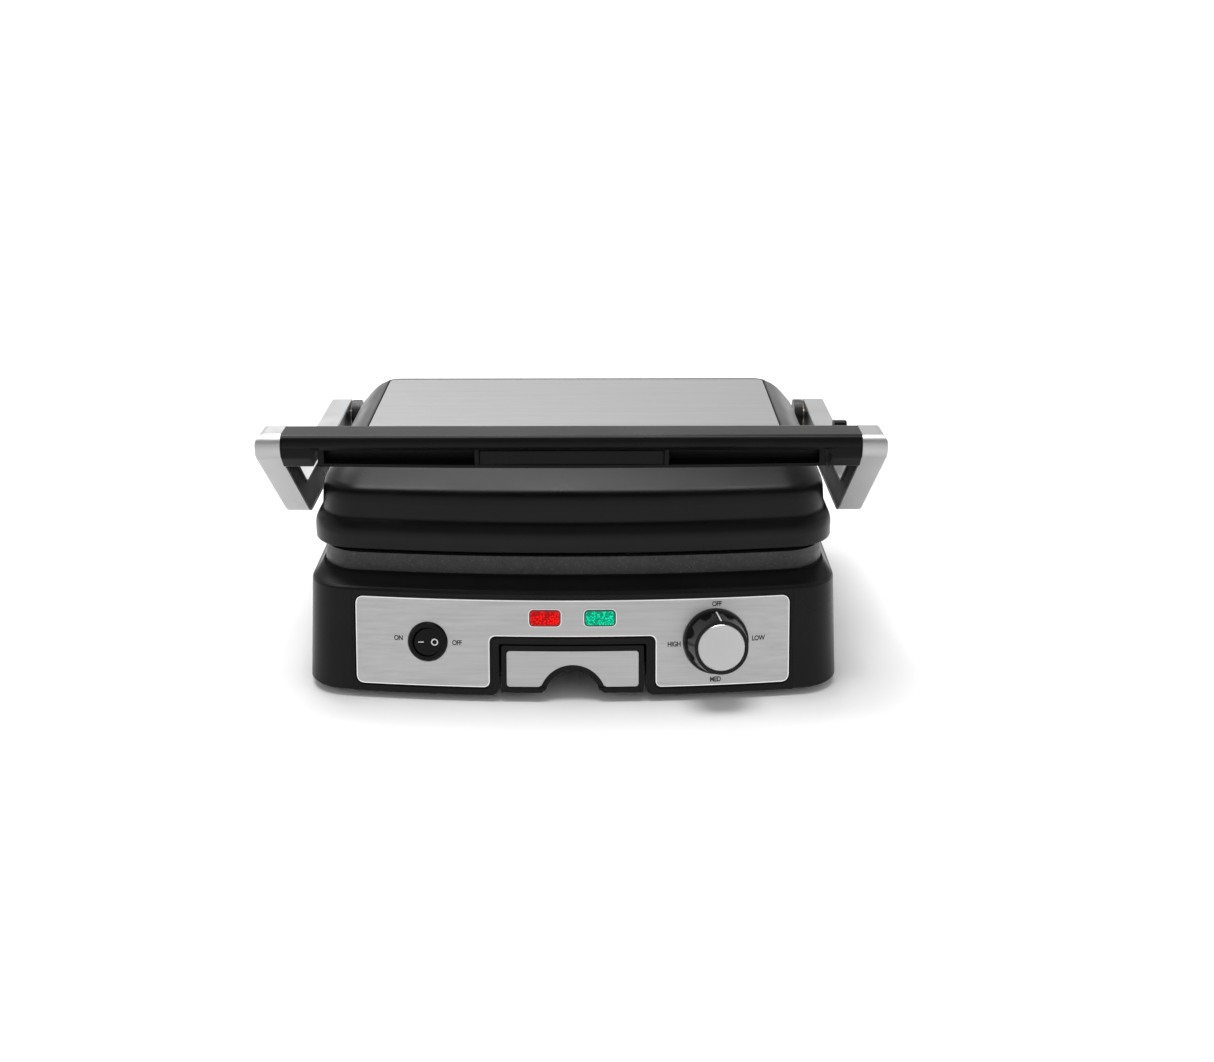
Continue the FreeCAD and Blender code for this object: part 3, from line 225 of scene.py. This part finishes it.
def lens(name, colour, glow):
    """Prismatic indicator lens, lit from within, under a glossy skin."""
    shader = Shader(name, colour, roughness=0.22)
    prisms = shader.cells(scale=900, stretch=(1, 0.3, 1))
    light = shader.spread(prisms, 1, 0, start=0.1, end=0.6)
    shader.tint(light, scaled(colour, 0.4), scaled(colour, 1.5))
    shader.relief(prisms, 0.18 * MM, strength=0.7)
    strength = shader.spread(light, 0.2, 0.8, start=0, end=1)
    shader.link(strength, shader.bsdf.inputs["Emission Strength"])
    shader.put("Emission Color", (*glow, 1)).put("Specular IOR Level", 0.05)
    return shader.put("Coat Weight", 0.15).put("Coat Roughness", 0.05).material


def plain_finish(name, colour, low, high, metallic=0.0, scale=80):
    """Small part with an even, slightly mottled surface."""
    shader = Shader(name, colour, (low + high) / 2, metallic)
    shader.mottle(shader.noise(scale, detail=4), 0.85, 1.12)
    shader.rough(shader.noise(scale * 3, detail=3), low, high)
    shader.relief(shader.noise(scale * 12, detail=2), 0.02 * MM, strength=0.4)
    return shader.material


STEEL = (0.62, 0.62, 0.622)

# name: colour, lowest and highest roughness, depth of the grain, specular level
PLASTICS = {
    "black_shell": ((0.0050, 0.0050, 0.0052), 0.26, 0.35, 0.02, 0.14),
    "lid_black": ((0.0030, 0.0030, 0.0032), 0.27, 0.36, 0.02, 0.19),
    "handle_black": ((0.0034, 0.0034, 0.0036), 0.26, 0.35, 0.02, 0.11),
    "black_inner": ((0.009, 0.009, 0.009), 0.50, 0.62, 0.04, 0.20),
    "switch_black": ((0.003, 0.003, 0.003), 0.18, 0.26, 0.006, 0.13),
    "knob_black": ((0.004, 0.004, 0.004), 0.18, 0.26, 0.006, 0.22),
    "foot_rubber": ((0.012, 0.012, 0.012), 0.70, 0.85, 0.05, 0.15),
}

# name: colour, lowest and highest roughness, strength of the brushing
BRUSHED_METALS = {
    "brushed_panel": (scaled(STEEL, 0.71), 0.28, 0.40, 0.7),
    "brushed_lid": (scaled(STEEL, 0.56), 0.30, 0.42, 0.6),
}

# name: colour, lowest and highest roughness
SATIN_METALS = {
    "satin_arm": ((0.43, 0.43, 0.435), 0.32, 0.42),
    "spun_metal": ((0.50, 0.50, 0.50), 0.28, 0.38),
    # the bright rim is a brighter, glossier copy of the steel: a painted highlight along the control
    # panel's edge and round each indicator lens
    "bright_rim": ((0.88, 0.88, 0.88), 0.14, 0.20),
}

# name: colour of the plastic, colour of its glow
LENSES = {
    "red_lens": ((0.62, 0.0, 0.0), (1.0, 0.003, 0.002)),
    "green_lens": ((0.0, 0.40, 0.20), (0.0, 0.75, 0.42)),
}

# name: colour, lowest and highest roughness, then metallic and texture scale where they matter
SMALL_PARTS = {
    # the two edge colours are darker, unlit copies of the lens colours: painted shade over the rim of
    # each lit lens
    "red_edge": ((0.16, 0.0, 0.0), 0.30, 0.40),
    "green_edge": ((0.0, 0.07, 0.04), 0.30, 0.40),
    "lamp_glass": ((0.80, 0.76, 0.70), 0.08, 0.15),
    "screw_steel": ((0.55, 0.55, 0.56), 0.28, 0.40, 1.0),
    "heater_metal": ((0.16, 0.15, 0.14), 0.45, 0.60, 1.0),
    "sheet_metal": ((0.70, 0.70, 0.70), 0.30, 0.45, 1.0),
    "bush_brass": ((0.70, 0.50, 0.22), 0.25, 0.38, 1.0),
    "ceramic": ((0.68, 0.66, 0.60), 0.60, 0.75),
    "hinge_metal": ((0.010, 0.010, 0.010), 0.40, 0.55, 0.0, 200),
    "dial_print": ((0.004, 0.004, 0.004), 0.60, 0.70),
    "pale_print": ((0.72, 0.72, 0.72), 0.45, 0.55),
}


def make_materials():
    """Every material, by name."""
    materials = {"non_stick": non_stick()}
    kinds = (
        (moulded_plastic, PLASTICS), (brushed_metal, BRUSHED_METALS), (satin_metal, SATIN_METALS),
        (lens, LENSES), (plain_finish, SMALL_PARTS),
    )
    for kind, looks in kinds:
        for name, look in looks.items():
            materials[name] = kind(name, *look)
    return materials


def dress_cad(materials):
    """Gives every carried-over CAD node the material of its slot."""
    slots = {part["node"]: part["material_slot"] for part in frame["record"]["subparts"]}
    for name, obj in frame["nodes"].items():
        for slot in obj.material_slots:
            slot.material = materials[slots[name]]


# ---------------------------------------------------------------- mesh helpers
def object_from(name, data):
    """Puts a mesh, curve, lamp or camera into the scene as an object."""
    obj = bpy.data.objects.new(name, data)
    bpy.context.scene.collection.objects.link(obj)
    return obj


def mesh_object(name, points, faces, sharp=30):
    """Object with smooth shading that breaks at edges sharper than the given degrees."""
    mesh = bpy.data.meshes.new(name)
    mesh.from_pydata([tuple(point) for point in points], [], faces)
    mesh.validate()
    for polygon in mesh.polygons:
        polygon.use_smooth = True
    mesh.set_sharp_from_angle(angle=math.radians(sharp))
    return object_from(name, mesh)


def finish_piece(obj, material, body, replaced=()):
    """Gives a piece its material and its body, and hides the CAD nodes it stands for."""
    obj.data.materials.clear()
    obj.data.materials.append(material)
    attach(obj, body)
    if replaced:
        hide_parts(*replaced)


def arc(centre, radius, start, end, steps):
    """Points of an arc from one angle to another, both ends included."""
    turns = [start + (end - start) * i / steps for i in range(steps + 1)]
    x, y = centre
    return [(x + radius * math.cos(turn), y + radius * math.sin(turn)) for turn in turns]


def bend(start, corner, end, steps):
    """Points of a curve from start to end that leaves and arrives along lines through corner."""
    points = []
    for step in range(steps + 1):
        t = step / steps
        weights = ((1 - t) ** 2, 2 * t * (1 - t), t ** 2)
        points.append(tuple(
            sum(weight * value for weight, value in zip(weights, values))
            for values in zip(start, corner, end)
        ))
    return points


def strip_round(path, width, low, high):
    """Points and faces of a band that stands from low to high along an anticlockwise path.

    It lies outside the path, or inside it where the width is negative.
    """
    count = len(path)
    points = []
    for i in range(count):
        ahead = Vector(path[(i + 1) % count]) - Vector(path[i - 1])
        side = Vector((ahead.y, -ahead.x)).normalized() * width
        inner, outer = Vector(path[i]), Vector(path[i]) + side
        points += [(*inner, low), (*inner, high), (*outer, high), (*outer, low)]
    faces = []
    for i in range(count):
        here, after = 4 * i, 4 * ((i + 1) % count)
        for k in range(4):
            following = (k + 1) % 4
            faces.append((here + k, here + following, after + following, after + k))
    return points, faces


def rounded_path(half_w, half_h, radius, steps=8):
    """Rounded rectangle as a closed path, anticlockwise from its lower right corner."""
    path = []
    for quarter, (sx, sy) in enumerate(((1, -1), (1, 1), (-1, 1), (-1, -1))):
        centre = (sx * (half_w - radius), sy * (half_h - radius))
        path += arc(centre, radius, math.pi / 2 * (quarter - 1), math.pi / 2 * quarter, steps)
    return path


def placed_piece(name, shapes, place, material, body):
    """One piece from (points, faces) pairs in millimetres, carried to place."""
    points, faces = [], []
    for some_points, some_faces in shapes:
        start = len(points)
        points += [place @ (Vector(point) * MM) for point in some_points]
        faces += [tuple(start + i for i in face) for face in some_faces]
    finish_piece(mesh_object(name, points, faces), material, body)


# ---------------------------------------------------------------- lid
BOW_STEPS, CORNER_STEPS, SIDE_STEPS = 24, 14, 10

LID_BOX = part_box("lid_housing")
LID_LOW, LID_TOP = (corner.z / MM for corner in LID_BOX)
LID_FRONT, LID_REAR = ((corner.y - FRONT_Y) / MM for corner in LID_BOX)
LID_HALF = LID_BOX[1].x / MM
LEDGE_Z = LID_LOW + 9.4         # a ledge runs round inside the flange at this height
FLANGE_Z = LID_LOW + 10.5       # top of the flange's upright edge
SHOULDER_Z, WALL_Z = LID_LOW + 15.2, LID_LOW + 16.7     # end of its shoulder, foot of the wall
CREST_Z, SLOPE_Z = LID_LOW + 32.0, LID_LOW + 45.6       # crest of the wall, bend in the slope

# edges, corner radius and depth of the recess that the steel plate lies in
PLATE_FRONT, PLATE_REAR, PLATE_HALF = 94.25, 237.25, 125.75
PLATE_CORNER, PLATE_DEPTH = 5.75, 1.35

EASING_STEPS, MOST_OF_RUN = 5, 0.49     # a corner's curve takes at most this much of each run


def plan_ring(z, front, half, rear, corner):
    """Points of a bow-fronted plan outline, anticlockwise from the middle of its front."""
    bow = BOW_R / MM
    bow_y, rear_y = front + bow, rear - corner
    centre_x = half - corner
    centre_y = bow_y - math.sqrt((bow - corner) ** 2 - centre_x ** 2)
    lean = math.atan2(centre_y - bow_y, centre_x)
    right = arc((0, bow_y), bow, -math.pi / 2, lean, BOW_STEPS)[:-1]
    right += arc((centre_x, centre_y), corner, lean, 0, CORNER_STEPS)
    right += [(half, centre_y + (rear_y - centre_y) * i / SIDE_STEPS) for i in range(1, SIDE_STEPS)]
    right += arc((centre_x, rear_y), corner, 0, math.pi / 2, CORNER_STEPS)
    right += [(centre_x * (1 - i / BOW_STEPS), rear) for i in range(1, BOW_STEPS + 1)]
    left = [(-x, y) for x, y in reversed(right[1:-1])]
    return [Vector((x * MM, from_front(y), z * MM)) for x, y in right + left]


def eased(levels, reaches):
    """Levels with each inner corner replaced by a short curve that starts and ends reach away."""
    result = [levels[0]]
    for before, here, after, reach in zip(levels, levels[1:], levels[2:], reaches):
        ends = []
        for other in (before, after):
            share = min(reach / math.dist(here[:3], other[:3]), MOST_OF_RUN)
            ends.append([h + (o - h) * share for h, o in zip(here, other)])
        result += bend(ends[0], here, ends[1], EASING_STEPS)
    result.append(levels[-1])
    return result


def loft(rings):
    """Points and faces of a closed body through rings of equal count, with a cap at each end."""
    count = len(rings[0])
    points = [point for ring in rings for point in ring]
    faces = []
    for level in range(len(rings) - 1):
        low, high = level * count, (level + 1) * count
        for i in range(count):
            j = (i + 1) % count
            faces.append((low + i, low + j, high + j, high + i))
    last = len(points) - count
    faces.append(tuple(reversed(range(count))))
    faces.append(tuple(range(last, len(points))))
    return points, faces


def lid_level(z, front, sides, rear, corner):
    """Level of the lid, set in from its outer walls by these amounts, with its corner radius."""
    return z, LID_FRONT + front, LID_HALF - sides, LID_REAR - rear, corner


def plate_level(z, front, sides, rear, corner):
    """Level round the steel plate's recess, larger than it by these amounts."""
    return z, PLATE_FRONT - front, PLATE_HALF + sides, PLATE_REAR + rear, PLATE_CORNER + corner


def make_lid(materials):
    """Lid shell: flange, soft shoulder, upright wall, crest and long crowned slope to the plate."""
    inside = [
        plate_level(LID_TOP - 3.6, -2.75, -2.75, -2.75, -0.75),
        plate_level(LID_TOP - 4.2, 1.25, -0.75, -0.25, 1.25),
        lid_level(CREST_Z - 2, 14, 8.5, 6.0, 24),
        lid_level(LEDGE_Z, 9.5, 7.4, 5.8, 25),
    ]
    outside = [
        lid_level(LEDGE_Z, 3.9, 3.9, 5.6, 26.0),
        lid_level(LID_LOW, 3.7, 3.7, 5.4, 26.2),
        lid_level(LID_LOW, 0, 0, 0, 30),
        lid_level(FLANGE_Z, 0, 0, 0, 30),
        lid_level(SHOULDER_Z, 4.6, 3.0, 0.4, 29),
        lid_level(WALL_Z, 6.5, 4.0, 0.6, 28),
        lid_level(CREST_Z, 8.4, 5.0, 2.2, 27.6),
        plate_level(SLOPE_Z, 18.25, 8.85, 12.75, 13.65),
        plate_level(LID_TOP, 1.75, 1.05, 1.45, 2.25),
        plate_level(LID_TOP, 0, 0, 0, 0),
        plate_level(LID_TOP - PLATE_DEPTH, -0.05, -0.05, -0.05, -0.05),
    ]
    reaches = [0.3, 0.9, 3.4, 1.6, 1.2, 6.5, 12.0, 0.6, 0.3]
    rings = [plan_ring(*level) for level in inside + eased(outside, reaches)]
    shell = mesh_object("lid_shell", *loft(rings), sharp=40)
    finish_piece(shell, materials["lid_black"], "lid", ["lid_housing"])


# ---------------------------------------------------------------- words on the front
PRINT_H, PRINT_HALF_THICK = 2.7, 0.03
CAPITAL_SHARE = 0.72        # height of the built-in font's capitals over its size
NARROWING = 0.86            # the words are this much narrower than the font
HEAVIER = 0.11              # and their strokes this much heavier on each side
LETTER_SPACING = 0.94


def flat_text(name, words):
    """Mesh of words standing in the x-z plane, centred, with its face towards -y."""
    curve = bpy.data.curves.new(name, "FONT")
    curve.body = words
    curve.align_x, curve.align_y = "CENTER", "CENTER"
    curve.size = PRINT_H * MM / CAPITAL_SHARE
    curve.offset = HEAVIER * MM
    curve.space_character = LETTER_SPACING
    curve.extrude = PRINT_HALF_THICK * MM
    maker = object_from(name, curve)
    graph = bpy.context.evaluated_depsgraph_get()
    mesh = bpy.data.meshes.new_from_object(maker.evaluated_get(graph))
    bpy.data.objects.remove(maker)
    mesh.transform(Matrix.Rotation(math.pi / 2, 4, "X"))
    return mesh


def print_on_front(name, words, x, z, materials):
    """Generic word printed on the control panel's face."""
    mesh = flat_text(name, words)
    sunk = (PANEL_SUNK - PRINT_HALF_THICK) * MM
    for vertex in mesh.vertices:
        px, pz = x + vertex.co.x * NARROWING, z + vertex.co.z
        vertex.co = (px, front_y(px, pz) + sunk + vertex.co.y, pz)
    finish_piece(object_from(name, mesh), materials["dial_print"], "base")


def dial_words(materials):
    """The words round the switch and the knob, each placed from its control's middle."""
    places = [
        ("switch_on", "ON", SWITCH_X, -16.5, 1.4), ("switch_off", "OFF", SWITCH_X, 16.6, -0.3),
        ("dial_off", "OFF", KNOB_X, 0.5, 20.5), ("dial_low", "LOW", KNOB_X, 24.1, 0.6),
        ("dial_med", "MED", KNOB_X, -0.1, -21.3), ("dial_high", "HIGH", KNOB_X, -23.5, -1.1),
    ]
    for name, words, control_x, across, up in places:
        x, z = (control_x + across) * MM, FOOT_H + (DIAL_H + up) * MM
        print_on_front("print_" + name, words, x, z, materials)


# ---------------------------------------------------------------- small pieces on the front
LENS_HALF_W, LENS_HALF_H, LENS_CORNER = 8.9, 4.7, 2.5


def lamp_rims(materials):
    """Painted highlight as a thin bright frame round each indicator lens, and painted shade as a darker
    band over each lens's rim.
    """
    # the rim is a painted highlight round the lens
    rim_width, rim_proud = 0.45, 0.15
    # the edge band is painted shade over the lens's rim
    edge_width, edge_proud, gap = 0.8, 1.13, 0.07
    sunk = 0.3
    lens_path = rounded_path(LENS_HALF_W, LENS_HALF_H, LENS_CORNER)
    edge_path = rounded_path(LENS_HALF_W - gap, LENS_HALF_H - gap, LENS_CORNER - gap)
    rim = strip_round(lens_path, rim_width, -sunk, rim_proud)
    edge = strip_round(edge_path, -edge_width, -sunk, edge_proud)
    for name, x in (("red", -LAMP_X), ("green", LAMP_X)):
        place = front_frame(x, LAMP_H)
        bright, dark, lens_slot = materials["bright_rim"], materials[name + "_edge"], name + "_lens"
        placed_piece("lamp_rim_highlight_" + name, [rim], place, bright, "base")
        placed_piece("lamp_edge_" + name, [edge], place, dark, "base")


def bar(x0, x1, half_width, surface, rise, steps=6):
    """Thin printed bar along x that follows a surface height given at any x."""
    points = []
    for i in range(steps + 1):
        x = x0 + (x1 - x0) * i / steps
        for y, up in ((-half_width, 0), (-half_width, rise), (half_width, rise), (half_width, 0)):
            points.append((x, y, surface(x) + up))
    faces = [(0, 1, 2, 3), tuple(4 * steps + k for k in (3, 2, 1, 0))]
    for i in range(steps):
        here, after = 4 * i, 4 * (i + 1)
        for k in range(4):
            following = (k + 1) % 4
            faces.append((here + k, after + k, after + following, here + following))
    return points, faces


def rocker_marks(materials):
    """Pale dash and ring printed on the rocker's two dished halves."""
    dish_r, dish_middle, sunk, rise = 26.0, 0.9, 0.03, 0.07
    ring_x, ring_r, ring_width, ring_steps = 3.7, 1.35, 0.6, 32
    dash_left, dash_right, dash_half = -5.4, -2.4, 0.3

    def dish(x):
        return dish_middle + dish_r - math.sqrt(dish_r ** 2 - x ** 2) - sunk

    circle = arc((ring_x, 0), ring_r, 0, 2 * math.pi, ring_steps)[:-1]
    points, faces = strip_round(circle, ring_width, 0, rise)
    points = [(x, y, dish(x) + up) for x, y, up in points]
    dash = bar(dash_left, dash_right, dash_half, dish, rise)
    pivot = Matrix.Translation((0, 0, -ROCKER_PIVOT * MM))
    tilt = pivot @ Matrix.Rotation(ROCKER_TILT, 4, "Y") @ pivot.inverted()
    place = front_frame(SWITCH_X, DIAL_H) @ tilt
    shapes = [(points, faces), dash]
    placed_piece("rocker_marks", shapes, place, materials["pale_print"], "rocker")


def knob_pointer(materials):
    """Pale line down the grip's tapering side, towards OFF."""
    half, sunk, proud = 0.45, 0.15, 0.06
    grip_foot, grip_rim = (3.2, 17.2), (20.0, 15.0)     # height above the panel and radius there
    points = []
    for out, radius in (grip_foot, grip_rim):
        low, high = radius - sunk, radius + proud
        points += [(-half, low, out), (-half, high, out), (half, high, out), (half, low, out)]
    faces = [(0, 1, 2, 3), (7, 6, 5, 4), (0, 4, 5, 1), (1, 5, 6, 2), (2, 6, 7, 3), (3, 7, 4, 0)]
    shapes, place = [(points, faces)], front_frame(KNOB_X, DIAL_H)
    placed_piece("knob_pointer", shapes, place, materials["pale_print"], "knob")


def rounded_outline(corners, steps=6, longest=6.0):
    """Closed path round (x, h, radius) corners, divided so that it can follow the bow."""
    path = []
    count = len(corners)
    for i in range(count):
        here, radius = Vector(corners[i][:2]), corners[i][2]
        before = here + (Vector(corners[i - 1][:2]) - here).normalized() * radius
        after = here + (Vector(corners[(i + 1) % count][:2]) - here).normalized() * radius
        path += [Vector(point) for point in bend(before, here, after, steps)]
    divided = []
    for i, point in enumerate(path):
        ahead = path[(i + 1) % len(path)]
        parts = max(1, round((ahead - point).length / longest))
        divided += [point.lerp(ahead, k / parts) for k in range(parts)]
    return divided


def panel_edge(materials):
    """Painted highlight: a fine band of brighter steel that runs inside the control panel's outline, on
    the bowed front.
    """
    half, low, high, outer = 122.2, 4.3, 52.5, 4.5      # the panel and its corner radius
    notch, notch_top, tight = 46.7, 32.7, 3.6           # the notch for the tray and its radius
    corners = [
        (-half, low, outer), (-notch, low, tight), (-notch, notch_top, tight),
        (notch, notch_top, tight), (notch, low, tight), (half, low, outer),
        (half, high, outer), (-half, high, outer),
    ]
    width, deepest, shallowest = 0.5, 0.45, 0.12
    band, faces = strip_round(rounded_outline(corners), -width, -deepest, -shallowest)
    points = []
    for x, h, out in band:
        px, pz = x * MM, FOOT_H + h * MM
        points.append((px, front_y(px, pz) - out * MM, pz))
    edge = mesh_object("panel_edge", points, faces)
    finish_piece(edge, materials["bright_rim"], "base")


# ---------------------------------------------------------------- studio
def make_floor():
    """Wide pale floor, 60 m to each side."""
    half, pale, paler = 60.0, (0.93, 0.93, 0.93), (0.94, 0.94, 0.94)
    mesh = bpy.data.meshes.new("floor")
    corners = [(-half, -half, 0), (half, -half, 0), (half, half, 0), (-half, half, 0)]
    mesh.from_pydata(corners, [], [(0, 1, 2, 3)])
    floor = object_from("floor", mesh)
    shader = Shader("pale_floor", pale, roughness=0.7)
    shader.tint(shader.spread(shader.noise(scale=0.4, detail=1), 0, 1), pale, paler)
    floor.data.materials.append(shader.material)


def make_world():
    """White surroundings: a bright band all round the horizon that fades to a dimmer ceiling."""
    horizon, ceiling = 0.94, 0.32       # brightness
    fade_low, fade_high = 0.35, 0.8     # sines of the angles above the horizon where it fades
    world = bpy.data.worlds.new("studio")
    bpy.context.scene.world = world
    world.use_nodes = True
    tree = world.node_tree
    background = tree.nodes["Background"]
    set_inputs(background, {"Color": (1, 1, 1, 1)})
    direction = tree.nodes.new("ShaderNodeTexCoord")
    parts = tree.nodes.new("ShaderNodeSeparateXYZ")
    fade = tree.nodes.new("ShaderNodeMapRange")
    fade.interpolation_type = "SMOOTHSTEP"
    set_inputs(fade, {"From Min": fade_low, "From Max": fade_high, "To Min": horizon, "To Max": ceiling})
    tree.links.new(direction.outputs["Generated"], parts.inputs["Vector"])
    tree.links.new(parts.outputs["Z"], fade.inputs["Value"])
    tree.links.new(fade.outputs["Result"], background.inputs["Strength"])


def make_light(name, kind, energy, tilt, place=(0, 0, 0)):
    """A lamp at a place in metres, pointing down but tilted by degrees about x and y."""
    data = bpy.data.lights.new(name, kind)
    data.energy = energy
    lamp = object_from(name, data)
    lamp.location = place
    lamp.rotation_euler = (math.radians(tilt[0]), math.radians(tilt[1]), 0)
    return data


def make_lights():
    """A soft overhead sun and one wide softbox above and behind the press."""
    sun = make_light("soft_sun", "SUN", 2.15, (-8, -4))
    sun.angle = math.radians(34)
    softbox = make_light("rear_softbox", "AREA", 22, (-41, -14), (-0.5, 1.55, 1.75))
    softbox.shape, softbox.size, softbox.size_y = "RECTANGLE", 1.5, 0.8


def make_camera():
    """Camera in front of the press and above it, looking down at the lid."""
    across, ahead, above = 15, 813.5, 394.6     # of the middle of the base's lower front edge
    down, right = 20, 0.3                       # degrees that it looks below level and to the right
    data = bpy.data.cameras.new("camera")
    data.sensor_width = 36.0
    data.lens = 47.45
    camera = object_from("camera", data)
    camera.location = (across * MM, from_front(-ahead), FOOT_H + above * MM)
    camera.rotation_euler = (math.radians(90 - down), 0, math.radians(-right))
    bpy.context.scene.camera = camera


def main():
    materials = make_materials()
    dress_cad(materials)
    make_lid(materials)
    dial_words(materials)
    lamp_rims(materials)
    rocker_marks(materials)
    knob_pointer(materials)
    panel_edge(materials)
    make_floor()
    make_world()
    make_lights()
    make_camera()
    bpy.context.scene.view_settings.view_transform = "Standard"


main()
